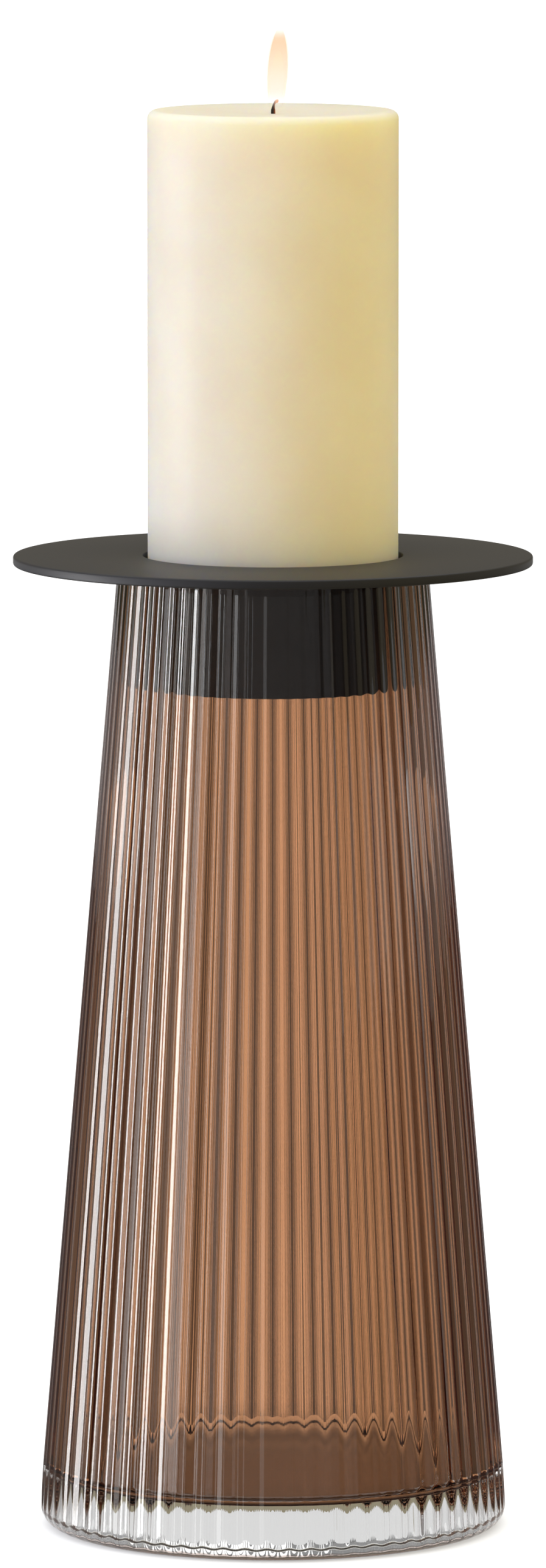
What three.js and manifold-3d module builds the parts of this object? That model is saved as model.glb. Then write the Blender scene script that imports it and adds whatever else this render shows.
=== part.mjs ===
// A pillar-candle holder: a tall flared glass body with reeded walls, a flat metal plate that rests on
// its rim, a collar under the plate that centres it in the neck, and a pillar candle standing in the plate.
// Millimetres, +Z up. The origin is the centre of the flat underside of the glass, on the table.
import * as THREE from "three";
import { mergeVertices } from "three/addons/utils/BufferGeometryUtils.js";
import Module from "manifold-3d";

const wasm = await Module();
wasm.setup();

// Clearance left between two pieces that rest on each other or are fixed face to face.
const touchGap = 0.3;

// Facets round the turned metal and wax pieces.
const roundSteps = 72;

// Glass body: the crests of its reeds lie on a straight cone, which stands upright near the base.
const plateUndersideZ = 310;
const glassHeight = plateUndersideZ - touchGap;
const rimRadius = 49.7;
const coneFootRadius = 74;
const coneFootZ = 20;
const shoulderRadius = 74.5;
const shoulderZ = 12;
const baseFlatRadius = 68.8;
const heelRadius = 6;
const lipRadius = 1;
const reedCount = 68;
const stepsPerReed = 4;
const reedDepthPerPitch = 0.1;
const frontReedAngle = -1.4 * (Math.PI / 180);
const neckBoreRadius = 46.3;
const cavityFootRadius = 69.2;
const cavityFloorZ = 17;
const cavityCornerRadius = 4;

// Plate and collar: sheet steel, the collar welded round the hole.
const plateRadius = 83;
const plateThickness = 3;
const plateEdgeRound = 0.8;
const plateTopZ = plateUndersideZ + plateThickness;
const seatRadius = 41.5;
const collarWall = 2;
const collarBottomZ = 271;

// Seat disc: the floor inside the collar that the candle stands on.
const seatDepth = 8;
const seatDiscThickness = 1.7;
const candleBaseZ = plateTopZ - seatDepth;

// Candle and wick.
const candleRadius = 40;
const candleHeight = 150;
const candleEdgeRound = 2.6;
const candleDish = 1.2;
const candleDishAtHalfRadius = 0.7;
const wickRadius = 0.7;
const wickAboveDish = 4.6;
const wickStraight = 2.6;
const wickLean = 2.2;

const glassMaterial = new THREE.MeshStandardMaterial({
  color: 0xc49a78,
  roughness: 0.05,
  metalness: 0,
  transparent: true,
  opacity: 0.55,
});
const blackMaterial = new THREE.MeshStandardMaterial({ color: 0x151515, roughness: 0.55, metalness: 0.2 });
const waxMaterial = new THREE.MeshStandardMaterial({ color: 0xe9dfc4, roughness: 0.5, metalness: 0 });
const wickMaterial = new THREE.MeshStandardMaterial({ color: 0x1a1512, roughness: 0.9, metalness: 0 });

// Points of a quarter round about (cx, cz), from angle a0 to angle a1 in the radius-height plane.
function arcPoints(cx, cz, radius, a0, a1, steps) {
  const points = [];
  for (let i = 0; i <= steps; i++) {
    const a = a0 + ((a1 - a0) * i) / steps;
    points.push(new THREE.Vector2(cx + radius * Math.cos(a), cz + radius * Math.sin(a)));
  }
  return points;
}

function point(radius, z) {
  return new THREE.Vector2(radius, z);
}

// A profile of radius and height turned about Z.
function turned(profile, segments) {
  return new THREE.LatheGeometry(profile, segments).rotateX(Math.PI / 2);
}

// A ring's profile closes on itself.
function turnedRing(profile, segments) {
  return turned([...profile, profile[0].clone()], segments);
}

function solidOf(geometry) {
  const bare = geometry.clone();
  bare.deleteAttribute("normal");
  bare.deleteAttribute("uv");
  const merged = mergeVertices(bare, 1e-3);
  const vertProperties = merged.attributes.position.array;
  const triVerts = new Uint32Array(merged.index.array);
  return new wasm.Manifold(new wasm.Mesh({ numProp: 3, vertProperties, triVerts }));
}

function geometryOf(solid) {
  const mesh = solid.getMesh();
  const geometry = new THREE.BufferGeometry();
  geometry.setAttribute("position", new THREE.BufferAttribute(mesh.vertProperties, 3));
  geometry.setIndex(new THREE.BufferAttribute(mesh.triVerts, 1));
  geometry.computeVertexNormals();
  return geometry;
}

function named(name, geometry, material) {
  const mesh = new THREE.Mesh(geometry, material.clone());
  mesh.name = name;
  return mesh;
}

// The reeds are upright ribs pressed into the outside, as deep as a fixed share of their pitch, so they
// grow with the body, and they fade out round the heel.
function pressReeds(geometry) {
  const position = geometry.attributes.position;
  for (let i = 0; i < position.count; i++) {
    const x = position.getX(i);
    const y = position.getY(i);
    const radius = Math.hypot(x, y);
    if (radius < baseFlatRadius - heelRadius && position.getZ(i) < heelRadius) continue;
    const fade = Math.min(1, position.getZ(i) / heelRadius);
    const depth = (2 * Math.PI * radius * reedDepthPerPitch) / reedCount;
    const angle = Math.atan2(x, -y) - frontReedAngle;
    const sunk = fade * depth * (0.5 - 0.5 * Math.cos(reedCount * angle));
    const k = (radius - sunk) / (radius || 1);
    position.setXY(i, x * k, y * k);
  }
  return geometry;
}

function glassBody() {
  const quarter = Math.PI / 2;
  const outside = [
    point(0, 0),
    ...arcPoints(baseFlatRadius, heelRadius, heelRadius, -quarter, 0, 4),
    point(shoulderRadius, shoulderZ),
    point(coneFootRadius, coneFootZ),
    ...arcPoints(rimRadius - lipRadius, glassHeight - lipRadius, lipRadius, 0, quarter, 2),
    point(0, glassHeight),
  ];
  const cavity = [
    point(0, cavityFloorZ),
    ...arcPoints(
      cavityFootRadius - cavityCornerRadius,
      cavityFloorZ + cavityCornerRadius,
      cavityCornerRadius,
      -quarter,
      0,
      4,
    ),
    point(neckBoreRadius, glassHeight - lipRadius),
    point(neckBoreRadius + lipRadius, glassHeight),
    point(neckBoreRadius + lipRadius, glassHeight + lipRadius),
    point(0, glassHeight + lipRadius),
  ];
  const shell = solidOf(pressReeds(turned(outside, reedCount * stepsPerReed)));
  return geometryOf(shell.subtract(solidOf(turned(cavity, roundSteps))));
}

function topPlate() {
  const quarter = Math.PI / 2;
  const round = plateEdgeRound;
  return turnedRing(
    [
      point(seatRadius, plateUndersideZ),
      ...arcPoints(plateRadius - round, plateUndersideZ + round, round, -quarter, 0, 2),
      ...arcPoints(plateRadius - round, plateTopZ - round, round, 0, quarter, 2),
      point(seatRadius, plateTopZ),
    ],
    roundSteps,
  );
}

function neckCollar() {
  const top = plateUndersideZ - touchGap;
  return turnedRing(
    [
      point(seatRadius, collarBottomZ),
      point(seatRadius + collarWall, collarBottomZ),
      point(seatRadius + collarWall, top),
      point(seatRadius, top),
    ],
    roundSteps,
  );
}

function seatDisc() {
  const top = candleBaseZ - touchGap;
  const radius = seatRadius - touchGap;
  const bottom = top - seatDiscThickness;
  return turned([point(0, bottom), point(radius, bottom), point(radius, top), point(0, top)], roundSteps);
}

// The top of the candle is dished towards the wick, which runs in a bore down to the base.
function candleBody() {
  const top = candleBaseZ + candleHeight;
  const boreRadius = wickRadius + touchGap;
  return turnedRing(
    [
      point(boreRadius, candleBaseZ),
      point(candleRadius, candleBaseZ),
      ...arcPoints(candleRadius - candleEdgeRound, top - candleEdgeRound, candleEdgeRound, 0, Math.PI / 2, 4),
      point(candleRadius / 2, top - candleDishAtHalfRadius),
      point(boreRadius, top - candleDish),
    ],
    roundSteps,
  );
}

// The wick stands straight in its bore, and its burnt end leans over.
function wick() {
  const dishZ = candleBaseZ + candleHeight - candleDish;
  const path = new THREE.CurvePath();
  const foot = new THREE.Vector3(0, 0, candleBaseZ);
  const bend = new THREE.Vector3(0, 0, dishZ);
  const tip = new THREE.Vector3(wickLean, 0, dishZ + wickAboveDish);
  const control = new THREE.Vector3(0, 0, dishZ + wickStraight);
  path.add(new THREE.LineCurve3(foot, bend));
  path.add(new THREE.QuadraticBezierCurve3(bend, control, tip));
  const section = new THREE.Shape().absarc(0, 0, wickRadius, 0, 2 * Math.PI);
  return new THREE.ExtrudeGeometry(section, {
    steps: 40,
    curveSegments: 4,
    bevelEnabled: false,
    extrudePath: path,
  });
}

const candlestick = new THREE.Group();
candlestick.name = "glass_candlestick";
candlestick.add(
  named("glass_body", glassBody(), glassMaterial),
  named("top_plate", topPlate(), blackMaterial),
  named("neck_collar", neckCollar(), blackMaterial),
  named("seat_disc", seatDisc(), blackMaterial),
  named("candle", candleBody(), waxMaterial),
  named("wick", wick(), wickMaterial),
);

export default candlestick;
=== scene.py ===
import math

import bmesh
import bpy
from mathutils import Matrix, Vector


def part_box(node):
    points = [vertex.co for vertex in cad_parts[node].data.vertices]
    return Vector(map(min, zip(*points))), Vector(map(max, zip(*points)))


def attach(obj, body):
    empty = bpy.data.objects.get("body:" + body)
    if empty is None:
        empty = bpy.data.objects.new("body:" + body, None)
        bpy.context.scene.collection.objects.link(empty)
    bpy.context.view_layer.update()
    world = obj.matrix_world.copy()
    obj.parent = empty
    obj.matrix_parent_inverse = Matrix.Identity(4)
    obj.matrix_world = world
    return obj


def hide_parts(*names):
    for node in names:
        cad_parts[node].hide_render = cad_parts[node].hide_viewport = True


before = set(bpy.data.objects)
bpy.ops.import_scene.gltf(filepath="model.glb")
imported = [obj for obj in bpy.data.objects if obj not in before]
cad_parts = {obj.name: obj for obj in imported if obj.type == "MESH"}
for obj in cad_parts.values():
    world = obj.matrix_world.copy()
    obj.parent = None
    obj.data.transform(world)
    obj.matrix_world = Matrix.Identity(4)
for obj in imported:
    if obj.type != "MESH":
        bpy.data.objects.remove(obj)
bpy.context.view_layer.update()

# The camera stands well back and a little above the plate, and looks slightly down at the middle of the
# candlestick, so upright edges stay almost parallel.
camera_distance = 3.704
camera_height = 0.6744
camera_pitch = math.radians(6.70)
lens_mm, film_width_mm = 267.6, 36
bpy.ops.object.camera_add(
    location=(0, -camera_distance, camera_height),
    rotation=(math.pi / 2 - camera_pitch, 0, 0),
)
camera = bpy.context.object
camera.name = "front_camera"
camera.data.lens = lens_mm
camera.data.sensor_width = film_width_mm
camera.data.clip_end = 100
bpy.context.scene.camera = camera

# Glass body. Clear pressed glass in one piece: a tall hollow cone with a thick solid foot, and reeds moulded
# round its outside. The inside wall and floor carry a translucent copper-brown lustre, laid on after the
# pressing and fired.
glass_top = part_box("glass_body")[1].z
rim_radius, lip_round = 0.0497, 0.001
cone_foot_radius, cone_foot_z = 0.0740, 0.020
shoulder_radius, shoulder_z = 0.0745, 0.012
foot_flat_radius, heel_round = 0.0688, 0.006
bore_rim_radius, bore_foot_radius = 0.0463, 0.0692
cavity_floor_z, cavity_corner_round = 0.017, 0.004
pole_radius = 0.004
reeds, steps_per_reed = 68, 16
reed_pitch_angle = 2 * math.pi / reeds
reed_depth_per_pitch = 0.10
front_reed_angle = math.radians(-1.4)
hairs_breadth = 1e-6


def start_ring(name, vertices, radius, z, turn=0.0):
    """A ring of vertices, left in edit mode with all of it selected."""
    bpy.ops.object.select_all(action="DESELECT")
    bpy.ops.mesh.primitive_circle_add(
        vertices=vertices, radius=radius, fill_type="NOTHING", location=(0, 0, z), rotation=(0, 0, turn)
    )
    ring = bpy.context.object
    ring.name = name
    ring.data.name = name
    bpy.ops.object.transform_apply(location=True, rotation=True, scale=True)
    bpy.ops.object.mode_set(mode="EDIT")
    bpy.ops.mesh.select_all(action="SELECT")
    return ring


def draw_wall(outline, start):
    """Extrudes the selected ring through the (radius, z) points of an outline."""
    radius, z = start
    for next_radius, next_z in outline:
        bpy.ops.mesh.extrude_region_move(TRANSFORM_OT_translate={"value": (0, 0, next_z - z)})
        grow = next_radius / radius
        bpy.ops.transform.resize(value=(grow, grow, 1), center_override=(0, 0, next_z))
        radius, z = next_radius, next_z


def arc(centre, radius, first_degrees, last_degrees, steps):
    """Points of a round in the (radius, z) plane."""
    sweep = last_degrees - first_degrees
    angles = [math.radians(first_degrees + sweep * i / steps) for i in range(steps + 1)]
    return [(centre[0] + radius * math.cos(a), centre[1] + radius * math.sin(a)) for a in angles]


def quarter_points(start, end):
    """The three (radius, z) points that divide a straight stretch of wall into quarters."""
    return [
        (start[0] + (end[0] - start[0]) * share, start[1] + (end[1] - start[1]) * share)
        for share in (0.25, 0.5, 0.75)
    ]


def choose(piece, wanted):
    """Selects the vertices that wanted(place) is true for."""
    bpy.ops.mesh.select_mode(type="VERT")
    bpy.ops.mesh.select_all(action="DESELECT")
    shape = bmesh.from_edit_mesh(piece.data)
    for v in shape.verts:
        v.select = wanted(v.co)
    shape.select_flush(True)
    bmesh.update_edit_mesh(piece.data)


def close_ring():
    """Draws the selected ring together into one point at its middle."""
    bpy.ops.mesh.extrude_region_move()
    bpy.ops.mesh.merge(type="CENTER")


def close_pole(piece, z):
    """Closes the small ring of vertices that lies round the axis at height z."""
    choose(piece, lambda p: abs(p.z - z) < hairs_breadth and math.hypot(p.x, p.y) < pole_radius * 1.01)
    close_ring()


def finish_mesh(crease_degrees=None):
    """Merges doubled vertices, turns the faces outwards, and shades smooth up to the crease angle."""
    bpy.ops.mesh.select_all(action="SELECT")
    bpy.ops.mesh.remove_doubles(threshold=1e-7)
    bpy.ops.mesh.normals_make_consistent(inside=False)
    bpy.ops.object.mode_set(mode="OBJECT")
    if crease_degrees is None:
        bpy.ops.object.shade_smooth()
    else:
        bpy.ops.object.shade_smooth_by_angle(angle=math.radians(crease_degrees))


glass = start_ring("reeded_glass_body", reeds * steps_per_reed, pole_radius, 0, front_reed_angle)
lip_z = glass_top - lip_round
cone_foot, cone_rim = (cone_foot_radius, cone_foot_z), (rim_radius, lip_z)
bore_rim, bore_foot = (bore_rim_radius, lip_z), (bore_foot_radius, cavity_floor_z + cavity_corner_round)
corner_centre = (bore_foot_radius - cavity_corner_round, cavity_floor_z + cavity_corner_round)
outside = [(foot_flat_radius * 0.5, 0)] + arc((foot_flat_radius, heel_round), heel_round, -90, 0, 8)
outside += [(shoulder_radius, shoulder_z), cone_foot] + quarter_points(cone_foot, cone_rim)
outside += arc((rim_radius - lip_round, lip_z), lip_round, 0, 90, 4)
inside = arc((bore_rim_radius + lip_round, lip_z), lip_round, 90, 180, 4)
inside += quarter_points(bore_rim, bore_foot) + arc(corner_centre, cavity_corner_round, 0, -90, 8)
inside += [(bore_foot_radius * 0.5, cavity_floor_z), (pole_radius, cavity_floor_z)]
draw_wall(outside + inside, (pole_radius, 0))
close_pole(glass, 0)
close_pole(glass, cavity_floor_z)


def mid_wall_radius(z):
    """The radius half way through the wall at height z: the outside lies beyond it and the bore within it."""
    share = (z - cavity_floor_z) / (glass_top - cavity_floor_z)
    outer = cone_foot_radius + (rim_radius - cone_foot_radius) * share
    inner = bore_foot_radius + (bore_rim_radius - bore_foot_radius) * share
    return (outer + inner) / 2


def reed_step(p):
    """Which step of its reed a vertex is on: 0 on the crest, steps_per_reed / 2 in the valley."""
    turn = (math.atan2(p.x, -p.y) - front_reed_angle) / reed_pitch_angle
    step = round((turn - math.floor(turn)) * steps_per_reed) % steps_per_reed
    return min(step, steps_per_reed - step)


def on_reeded_wall(p):
    """Whether a vertex is on the outside, above the heel."""
    return p.z > heel_round - hairs_breadth and math.hypot(p.x, p.y) > mid_wall_radius(p.z)


def draw_in(share):
    """Moves the selected vertices towards the axis by a share of their radius."""
    bpy.ops.transform.resize(value=(1 - share, 1 - share, 1), center_override=(0, 0, 0))


# The reeds are pressed in step by step: each step of the pitch is drawn in towards the axis by its own share,
# and that share fades out down the round of the heel.
heel_heights = sorted({
    round(z, 6) for radius, z in outside if hairs_breadth < z < heel_round - hairs_breadth
})
for step in range(1, steps_per_reed // 2 + 1):
    sink = 0.5 - 0.5 * math.cos(2 * math.pi * step / steps_per_reed)
    depth_share = reed_pitch_angle * reed_depth_per_pitch * sink
    choose(glass, lambda p: on_reeded_wall(p) and reed_step(p) == step)
    draw_in(depth_share)
    for z in heel_heights:
        fade = z / heel_round
        choose(glass, lambda p: abs(p.z - z) < 2 * hairs_breadth and reed_step(p) == step)
        draw_in(depth_share * fade)
finish_mesh()


def set_sockets(finish, node, settings):
    """Sets the named sockets of a node: another node's output is linked, anything else is a plain value."""
    for socket, value in settings.items():
        if isinstance(value, bpy.types.NodeSocket):
            finish.node_tree.links.new(value, node.inputs[socket])
        else:
            node.inputs[socket].default_value = value


def new_finish(name):
    """A new material with a plain shader."""
    finish = bpy.data.materials.new(name)
    finish.use_nodes = True
    return finish


def set_shader(finish, settings):
    """Sets the sockets of a finish's own shader."""
    set_sockets(finish, finish.node_tree.nodes["Principled BSDF"], settings)


def add_node(finish, kind, settings):
    """Adds a node to a finish, with its sockets set or linked."""
    node = finish.node_tree.nodes.new("ShaderNode" + kind)
    set_sockets(finish, node, settings)
    return node


def place_on_piece(finish):
    """Where a point of the surface lies, measured from the piece's own origin."""
    return add_node(finish, "TexCoord", {}).outputs["Object"]


def mottle(finish, scale, detail):
    """An even, cloudy pattern over the whole piece."""
    pattern = add_node(finish, "TexNoise", {
        "Vector": place_on_piece(finish), "Scale": scale, "Detail": detail,
    })
    return pattern.outputs["Fac"]


def share_along(finish, axis, low, high, low_share=0.0, high_share=1.0):
    """A share that goes from low_share to high_share between two places on one axis of the piece."""
    place = add_node(finish, "SeparateXYZ", {"Vector": place_on_piece(finish)})
    share = add_node(finish, "MapRange", {
        "Value": place.outputs[axis],
        "From Min": low,
        "From Max": high,
        "To Min": low_share,
        "To Max": high_share,
    })
    return share.outputs["Result"]


def add_shades(finish, share, stops):
    """A colour that follows share through (position, colour) stops."""
    shades = add_node(finish, "ValToRGB", {"Fac": share})
    marks = shades.color_ramp.elements
    marks[0].position, marks[0].color = stops[0]
    marks[1].position, marks[1].color = stops[-1]
    for position, colour in stops[1:-1]:
        marks.new(position).color = colour
    return shades


glass_ior = 1.5
clear_glass = new_finish("clear_pressed_glass")
set_shader(clear_glass, {
    "Base Color": (1, 1, 1, 1), "Roughness": 0.0, "IOR": glass_ior, "Transmission Weight": 1,
})

# The lustre is a little uneven and darker towards the cavity floor. Light that is thrown back whole inside
# the wall crosses it twice, so there it mirrors in its own brown.
lustre = new_finish("copper_brown_lustre")
lustre_shades = add_shades(lustre, mottle(lustre, 22, 3), [
    (0.3, (0.43, 0.200, 0.092, 1)),
    (0.7, (0.48, 0.228, 0.108, 1)),
])
# The lustre's colour darkens towards the cavity floor, down to this share of itself at the floor.
floor_colour_share = 0.55
darkening_top_z = cavity_floor_z + 2 * cavity_corner_round
towards_floor = share_along(lustre, "Z", cavity_floor_z, darkening_top_z, low_share=floor_colour_share)
darker_on_floor = add_node(lustre, "Mix", {})
darker_on_floor.data_type = "RGBA"
set_sockets(lustre, darker_on_floor, {
    "Factor": towards_floor, "A": (0, 0, 0, 1), "B": lustre_shades.outputs["Color"],
})
nearly_all = 0.995
thrown_back = add_node(lustre, "Fresnel", {"IOR": glass_ior})
thrown_back_whole = add_node(lustre, "Math", {0: thrown_back.outputs["Fac"], 1: nearly_all})
thrown_back_whole.operation = "GREATER_THAN"
set_shader(lustre, {
    "Base Color": darker_on_floor.outputs["Result"],
    "Metallic": thrown_back_whole.outputs["Value"],
    "Roughness": 0.02,
    "IOR": glass_ior,
    "Transmission Weight": 1,
})

glass.data.materials.append(clear_glass)
glass.data.materials.append(lustre)
for face in glass.data.polygons:
    middle = face.center
    above_floor = cavity_floor_z - 1e-4 < middle.z < lip_z
    within_wall = math.hypot(middle.x, middle.y) < mid_wall_radius(middle.z)
    face.material_index = 1 if above_floor and within_wall else 0
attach(glass, "glass")
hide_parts("glass_body")

# Top plate. A flat steel disc with a round hole, cut, deburred and powder coated satin black. It rests on
# the rim of the glass by its own weight.
plate_low, plate_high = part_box("top_plate")
plate_radius, plate_round = plate_high.x, 0.0007
hole_radius, hole_round = 0.0415, 0.0003
metal_crease_degrees = 40
hole_foot = (hole_radius, plate_low.z + hole_round)
plate = start_ring("top_plate_disc", 256, *hole_foot)
plate_outline = arc((hole_radius + hole_round, plate_low.z + hole_round), hole_round, 180, 270, 3)[1:]
plate_outline += arc((plate_radius - plate_round, plate_low.z + plate_round), plate_round, -90, 0, 4)
plate_outline += arc((plate_radius - plate_round, plate_high.z - plate_round), plate_round, 0, 90, 4)
plate_outline += arc((hole_radius + hole_round, plate_high.z - hole_round), hole_round, 90, 180, 3)
draw_wall(plate_outline + [hole_foot], hole_foot)
finish_mesh(metal_crease_degrees)


def add_grain(finish, scale, detail, strength, depth):
    """A fine relief over the whole piece."""
    relief = add_node(finish, "Bump", {
        "Strength": strength, "Distance": depth, "Height": mottle(finish, scale, detail),
    })
    set_shader(finish, {"Normal": relief.outputs["Normal"]})


black_coat = new_finish("satin_black_powder_coat")
set_shader(black_coat, {
    "Base Color": (0.020, 0.019, 0.021, 1), "Specular IOR Level": 0.4, "Roughness": 0.5, "IOR": 1.5,
})
add_grain(black_coat, scale=1800, detail=3, strength=0.15, depth=0.0001)
plate.data.materials.append(black_coat)
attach(plate, "insert")
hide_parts("top_plate")

# Neck collar. A short steel tube welded under the plate round its hole, in the same black coat. It hangs in
# the neck of the glass and keeps the plate centred.
collar_low, collar_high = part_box("neck_collar")
collar_radius, collar_round = collar_high.x, 0.0004
collar_bore_top = (hole_radius, collar_high.z)
collar = start_ring("neck_collar_tube", 192, *collar_bore_top)
collar_foot_z = collar_low.z + collar_round
collar_outline = [(hole_radius, collar_foot_z)]
collar_outline += arc((hole_radius + collar_round, collar_foot_z), collar_round, 180, 270, 3)[1:]
collar_outline += arc((collar_radius - collar_round, collar_foot_z), collar_round, -90, 0, 3)
draw_wall(collar_outline + [(collar_radius, collar_high.z), collar_bore_top], collar_bore_top)
finish_mesh(metal_crease_degrees)
collar.data.materials.append(black_coat)
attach(collar, "insert")
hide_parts("neck_collar")

# Seat disc. A disc of the same steel, its edges barely broken, welded inside the collar a little below the
# plate and coated with it. The candle stands on it.
disc_low, disc_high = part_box("seat_disc")
disc_radius, broken_edge = disc_high.x, 0.0001
disc = start_ring("seat_disc_plate", 128, pole_radius, disc_low.z)
draw_wall(
    [
        (disc_radius * 0.7, disc_low.z),
        (disc_radius, disc_low.z + broken_edge),
        (disc_radius, disc_high.z - broken_edge),
        (disc_radius * 0.7, disc_high.z),
        (pole_radius, disc_high.z),
    ],
    (pole_radius, disc_low.z),
)
close_pole(disc, disc_low.z)
close_pole(disc, disc_high.z)
finish_mesh(metal_crease_degrees)
disc.data.materials.append(black_coat)
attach(disc, "insert")
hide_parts("seat_disc")

# Candle. A pressed pillar of ivory paraffin wax, standing loose on the seat disc. Its top edge is rounded
# and its top has just begun to melt into a shallow dish round the wick.
candle_low, candle_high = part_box("candle")
candle_radius, candle_top = candle_high.x, candle_high.z
foot_round, edge_round = 0.0008, 0.0026
dish_depth = 0.0012
candle = start_ring("pillar_candle", 192, pole_radius, candle_low.z)
candle_outline = [(candle_radius * 0.6, candle_low.z), (candle_radius - foot_round, candle_low.z)]
candle_outline += arc((candle_radius - foot_round, candle_low.z + foot_round), foot_round, -90, 0, 3)[1:]
candle_outline += quarter_points((candle_radius, candle_low.z), (candle_radius, candle_top))
candle_outline += arc((candle_radius - edge_round, candle_top - edge_round), edge_round, 0, 90, 6)
candle_outline += [
    (candle_radius * 0.82, candle_top - dish_depth * 0.2),
    (candle_radius * 0.6, candle_top - dish_depth * 0.6),
    (candle_radius * 0.3, candle_top - dish_depth * 0.95),
    (pole_radius, candle_top - dish_depth),
]
draw_wall(candle_outline, (pole_radius, candle_low.z))
close_pole(candle, candle_low.z)
close_pole(candle, candle_top - dish_depth)
finish_mesh(crease_degrees=50)

wax = new_finish("ivory_wax")
clouding = add_shades(wax, mottle(wax, 45, 5), [
    (0.35, (0.855, 0.768, 0.598, 1)),
    (0.65, (0.880, 0.803, 0.642, 1)),
])
set_shader(wax, {
    "Base Color": clouding.outputs["Color"],
    "Roughness": 0.45,
    "IOR": 1.44,
    "Specular IOR Level": 0.25,
    "Subsurface Weight": 1,
    "Subsurface Radius": (1.0, 0.75, 0.3),
    "Subsurface Scale": 0.02,
})
add_grain(wax, scale=900, detail=4, strength=0.12, depth=0.00015)
candle.data.materials.append(wax)
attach(candle, "candle")
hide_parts("candle")

# Wick. Braided cotton through the middle of the candle. Its burnt end is charred black, has shrunk to a thin
# neck and leans over, and the tip still glows.
wick_foot_z = candle_top - dish_depth - 0.0003
strands, wick_radius, strand_swell = 3, 0.00066, 1.14
charred_length = 0.0012


def draw_along(stations):
    """Extrudes the selected ring along (x, z, radius, tilt in degrees) stations and closes its far end."""
    x, z, radius, tilt = stations[0]
    for next_x, next_z, next_radius, next_tilt in stations[1:]:
        bpy.ops.mesh.extrude_region_move(TRANSFORM_OT_translate={"value": (next_x - x, 0, next_z - z)})
        grow = next_radius / radius
        bpy.ops.transform.resize(value=(grow, grow, grow), center_override=(next_x, 0, next_z))
        bpy.ops.transform.rotate(
            value=math.radians(tilt - next_tilt), orient_axis="Y", center_override=(next_x, 0, next_z)
        )
        x, z, radius, tilt = next_x, next_z, next_radius, next_tilt
    close_ring()


def close_foot(piece, z):
    """Closes the ring at height z, the lowest of its piece."""
    choose(piece, lambda p: p.z < z + hairs_breadth)
    close_ring()


wick = start_ring("charred_wick", 24, wick_radius, wick_foot_z)
choose(wick, lambda p: math.cos(strands * math.atan2(p.y, p.x)) > 0.3)
bpy.ops.transform.resize(value=(strand_swell, strand_swell, 1), center_override=(0, 0, wick_foot_z))
bpy.ops.mesh.select_all(action="SELECT")
draw_along([
    (0, wick_foot_z, 0.00072, 0),
    (0, wick_foot_z + 0.0007, 0.00074, 0),
    (0, wick_foot_z + 0.0015, 0.00070, 0),
    (0.00008, wick_foot_z + 0.0023, 0.00050, 12),
    (0.00025, wick_foot_z + 0.0031, 0.00037, 24),
    (0.00050, wick_foot_z + 0.0037, 0.00036, 36),
    (0.00082, wick_foot_z + 0.0041, 0.00046, 52),
    (0.00120, wick_foot_z + 0.0043, 0.00056, 70),
    (0.00155, wick_foot_z + 0.0044, 0.00050, 84),
    (0.00175, wick_foot_z + 0.0044, 0.00026, 90),
])
close_foot(wick, wick_foot_z)
finish_mesh()

char = new_finish("charred_cotton")
towards_tip = share_along(char, "X", 0.0, charred_length)
scorch = add_shades(char, towards_tip, [(0.0, (0.015, 0.011, 0.010, 1)), (0.5, (0.16, 0.05, 0.03, 1))])
ember = add_shades(char, towards_tip, [(0.35, (0, 0, 0, 1)), (0.9, (0.62, 0.22, 0.05, 1))])
set_shader(char, {
    "Base Color": scorch.outputs["Color"],
    "Roughness": 0.9,
    "Emission Color": ember.outputs["Color"],
    "Emission Strength": 1,
})
wick.data.materials.append(char)
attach(wick, "candle")
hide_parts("wick")

# Flame. Burning wax vapour round the wick, about 28 mm tall: a faint peach envelope, a fuller peach
# sheath, and a cream-white heart. It has no solid of its own, so it only rides on the candle.
flame_foot_z, flame_tip_z = wick_foot_z + 0.0012, 0.4826
flame_height = flame_tip_z - flame_foot_z
lean_at_foot, lean_gained = 0.0008, 0.0015


def flame_layer(name, width, foot, head, foot_colour, head_colour, cover):
    """One nested layer of the flame, between two shares of its height; cover is how much it hides at most."""
    shape = [
        (0.00, 0.62), (0.10, 0.80), (0.24, 0.93), (0.38, 1.00), (0.52, 0.99),
        (0.65, 0.90), (0.77, 0.74), (0.87, 0.53), (0.95, 0.30), (1.00, 0.07),
    ]
    stations = []
    for share, swell in shape:
        height = foot + (head - foot) * share
        lean = lean_at_foot + lean_gained * height
        stations.append((lean, flame_foot_z + flame_height * height, width * swell, 0))
    foot_x, foot_z, foot_width = stations[0][:3]
    head_z = stations[-1][1]
    layer = start_ring(name, 64, foot_width, foot_z)
    bpy.ops.transform.translate(value=(foot_x, 0, 0))
    draw_along(stations)
    close_foot(layer, foot_z)
    finish_mesh()

    gas = new_finish(name + "_gas")
    rise = share_along(gas, "Z", foot_z, head_z)
    glow = add_shades(gas, rise, [(0.1, foot_colour), (0.85, head_colour)])
    low_cover = cover * 0.8
    thickness = add_shades(gas, rise, [
        (0.0, (0, 0, 0, 1)),
        (0.25, (low_cover, low_cover, low_cover, 1)),
        (0.80, (cover, cover, cover, 1)),
        (1.0, (0, 0, 0, 1)),
    ])
    thickness.color_ramp.interpolation = "EASE"
    set_shader(gas, {
        "Base Color": (0, 0, 0, 1),
        "Roughness": 1,
        "Specular IOR Level": 0,
        "Emission Color": glow.outputs["Color"],
        "Emission Strength": 1,
        "Alpha": thickness.outputs["Color"],
    })
    layer.data.materials.append(gas)
    layer.visible_shadow = False
    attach(layer, "candle")


flame_layer("flame_envelope", 0.00360, 0.0, 1.0, (1.0, 0.84, 0.62, 1), (1.0, 0.56, 0.28, 1), 0.26)
flame_layer("flame_sheath", 0.00315, 0.02, 0.975, (1.0, 0.84, 0.60, 1), (1.0, 0.55, 0.26, 1), 0.40)
flame_layer("flame_heart", 0.00215, 0.04, 0.72, (1.1, 1.1, 1.15, 1), (1.2, 1.05, 0.80, 1), 0.55)

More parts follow.
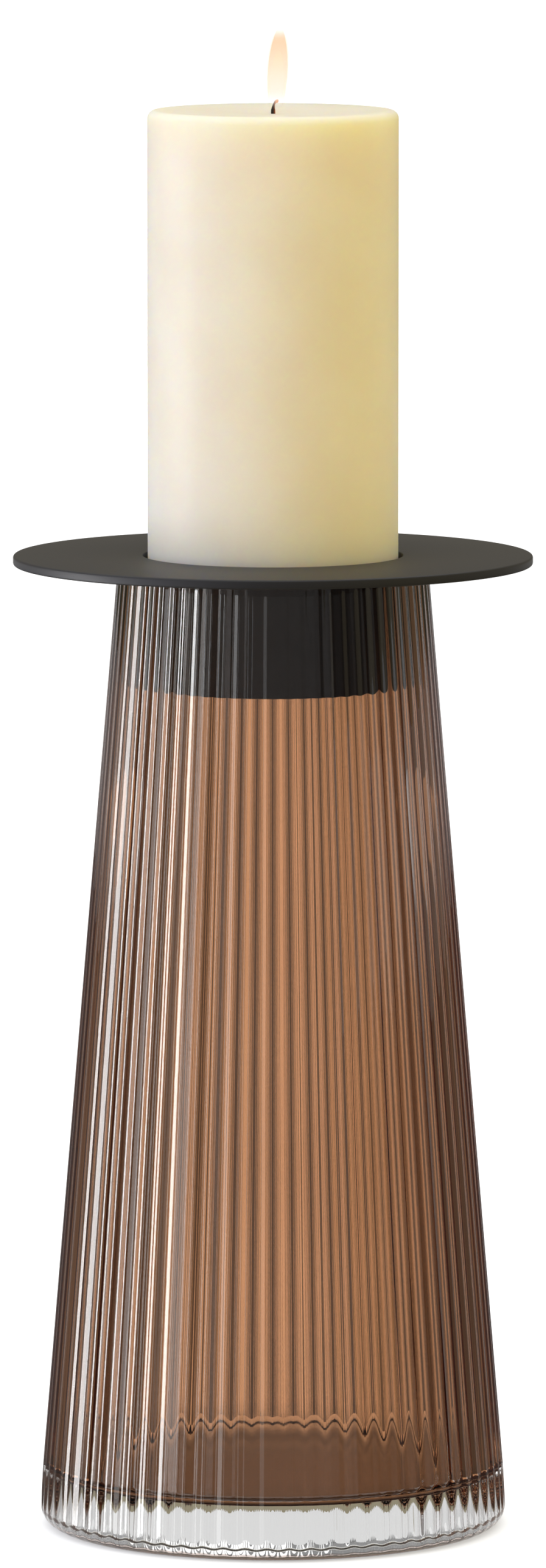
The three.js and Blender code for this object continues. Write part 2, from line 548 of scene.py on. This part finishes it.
# Floor. A wide pale floor, which isn't seen in or through the glass. A small disc stands in for it there: it
# lies under the foot, dark in its middle, where the candlestick keeps the light off.
floor_glow = 0.85
floor_z, table_disc_z = -0.0002, -0.0001
foot_shade_radius, lit_radius, table_disc_radius = 0.060, 0.080, 0.10
bpy.ops.object.select_all(action="DESELECT")
bpy.ops.mesh.primitive_plane_add(size=40, location=(0, 0, floor_z))
floor = bpy.context.object
floor.name = "studio_floor"
floor_paint = new_finish("pale_floor")
set_shader(floor_paint, {
    "Base Color": (0.5, 0.5, 0.5, 1),
    "Roughness": 0.9,
    "Emission Color": (1, 1, 1, 1),
    "Emission Strength": floor_glow,
})
floor.data.materials.append(floor_paint)
floor.visible_diffuse = False
floor.visible_glossy = False
floor.visible_transmission = False

bpy.ops.mesh.primitive_circle_add(
    vertices=96, radius=table_disc_radius, fill_type="NGON", location=(0, 0, table_disc_z)
)
table_disc = bpy.context.object
table_disc.name = "table_disc"
table_paint = new_finish("pale_table")
from_middle = add_node(table_paint, "VectorMath", {"Vector": place_on_piece(table_paint)})
from_middle.operation = "LENGTH"
foot_shade = add_node(table_paint, "MapRange", {
    "Value": from_middle.outputs["Value"],
    "From Min": foot_shade_radius,
    "From Max": lit_radius,
    "To Min": 0.04,
    "To Max": floor_glow,
})
set_shader(table_paint, {
    "Base Color": (0.5, 0.5, 0.5, 1),
    "Roughness": 0.9,
    "Emission Color": (1, 1, 1, 1),
    "Emission Strength": foot_shade.outputs["Result"],
})
table_disc.data.materials.append(table_paint)
table_disc.visible_diffuse = False

# Soft lights. A cool key light on the left and a warmer fill on the right, both on the candle and the plate,
# and broad light from above. None of them is seen through the glass.


def soft_light(name, place, aim, width, height, watts, colour):
    """A soft light that falls on the pieces but is neither seen, mirrored in them nor seen through them."""
    bpy.ops.object.light_add(type="AREA", location=place)
    light = bpy.context.object
    light.name = name
    light.data.shape = "RECTANGLE"
    light.data.size = width
    light.data.size_y = height
    light.data.energy = watts
    light.data.color = colour
    light.rotation_euler = (Vector(aim) - Vector(place)).to_track_quat("-Z", "Y").to_euler()
    light.visible_camera = False
    light.visible_glossy = False
    light.visible_transmission = False


soft_light("key_left", (-1.0, -0.5, 0.38), (0, 0, 0.37), 0.9, 0.9, 9.5, (0.92, 1.0, 1.30))
soft_light("fill_right", (1.3, -1.0, 0.5), (0, 0, 0.38), 0.8, 1.2, 11, (1.0, 0.84, 0.30))
bpy.ops.object.light_add(type="SUN", location=(0, 0, 3))
overhead = bpy.context.object
overhead.name = "broad_top_light"
overhead.data.energy = 2.2
overhead.data.color = (0.96, 1.0, 1.08)
overhead.data.angle = math.radians(90)
overhead.visible_transmission = False

# Light tent. Upright cloths and lit strips in a ring round the candlestick, seen only in the glass and the
# coat. The low panels stop at the waist behind, so the clear foot sees brighter cloths over them.
tent_radius, strip_top = 1.0, 0.45
tent_foot, tent_waist, tent_shoulder, tent_top = -0.6, 0.155, 0.30, 1.8


def tent_panel(name, first_degrees, last_degrees, low, high, glow, mirrored=True, seen_through=True):
    """An upright curved panel of the light tent, its ends given as angles round from the camera."""
    middle = math.radians((first_degrees + last_degrees) / 2)
    half = math.radians(last_degrees - first_degrees) / 2
    panel = start_ring(name, 720, tent_radius, low)
    nearest = tent_radius * math.cos(half)
    choose(panel, lambda p: p.x * math.sin(middle) - p.y * math.cos(middle) < nearest)
    bpy.ops.mesh.delete(type="VERT")
    bpy.ops.mesh.select_all(action="SELECT")
    bpy.ops.mesh.extrude_region_move(TRANSFORM_OT_translate={"value": (0, 0, high - low)})
    bpy.ops.object.mode_set(mode="OBJECT")
    cloth = new_finish(name + "_cloth")
    set_shader(cloth, {
        "Base Color": (0.01, 0.01, 0.01, 1),
        "Roughness": 1,
        "Emission Color": (1, 1, 1, 1),
        "Emission Strength": glow,
    })
    panel.data.materials.append(cloth)
    panel.visible_camera = False
    panel.visible_diffuse = False
    panel.visible_shadow = False
    panel.visible_glossy = mirrored
    panel.visible_transmission = seen_through


tent_panel("back_panel", 165, 181, tent_foot, tent_waist, 1.35)
tent_panel("left_back_dim_panel", 181, 200, tent_foot, tent_waist, 0.20)
tent_panel("left_back_cloth", 200, 262, tent_foot, tent_waist, 0.24)
tent_panel("right_back_panel", 140, 165, tent_foot, tent_waist, 0.28)
tent_panel("right_side_panel", 70, 140, tent_foot, tent_waist, 0.14)
tent_panel("upper_back_panel", 140, 200, tent_waist, tent_shoulder, 0.72)
tent_panel("upper_left_back_panel", 200, 262, tent_waist, tent_shoulder, 0.75)
tent_panel("upper_right_back_panel", 70, 140, tent_waist, tent_shoulder, 0.55)
tent_panel("left_strip_light", 262, 280, tent_foot, strip_top, 13.0, seen_through=False)
tent_panel("left_strip_shade", 262, 280, tent_foot, tent_top, 2.5, mirrored=False)
tent_panel("left_cloth", 280, 300, tent_foot, tent_top, 0.08)
tent_panel("left_front_strip", 300, 310, tent_foot, strip_top, 3.0)
tent_panel("left_front_cloth", 310, 320, tent_foot, tent_top, 0.08)
tent_panel("front_strip", 320, 330, tent_foot, strip_top, 1.0)
tent_panel("front_cloth", 330, 400, tent_foot, tent_top, 0.10, seen_through=False)
tent_panel("front_screen", 330, 400, tent_foot, tent_top, 0.36, mirrored=False)
tent_panel("right_cloth", 40, 70, tent_foot, tent_top, 0.05)

# Air and view. Faint warm light from all round fills the shadows, the view shows colours as they are, and
# light may pass the many walls of the reeds before it is given up.
world = bpy.data.worlds.new("studio_air")
bpy.context.scene.world = world
world.use_nodes = True
air = world.node_tree.nodes["Background"]
air.inputs["Color"].default_value = (1.0, 0.89, 0.62, 1)
air.inputs["Strength"].default_value = 0.30

bpy.context.scene.view_settings.view_transform = "Standard"
bpy.context.scene.cycles.max_bounces = 24
bpy.context.scene.cycles.transmission_bounces = 24
bpy.context.scene.cycles.glossy_bounces = 16
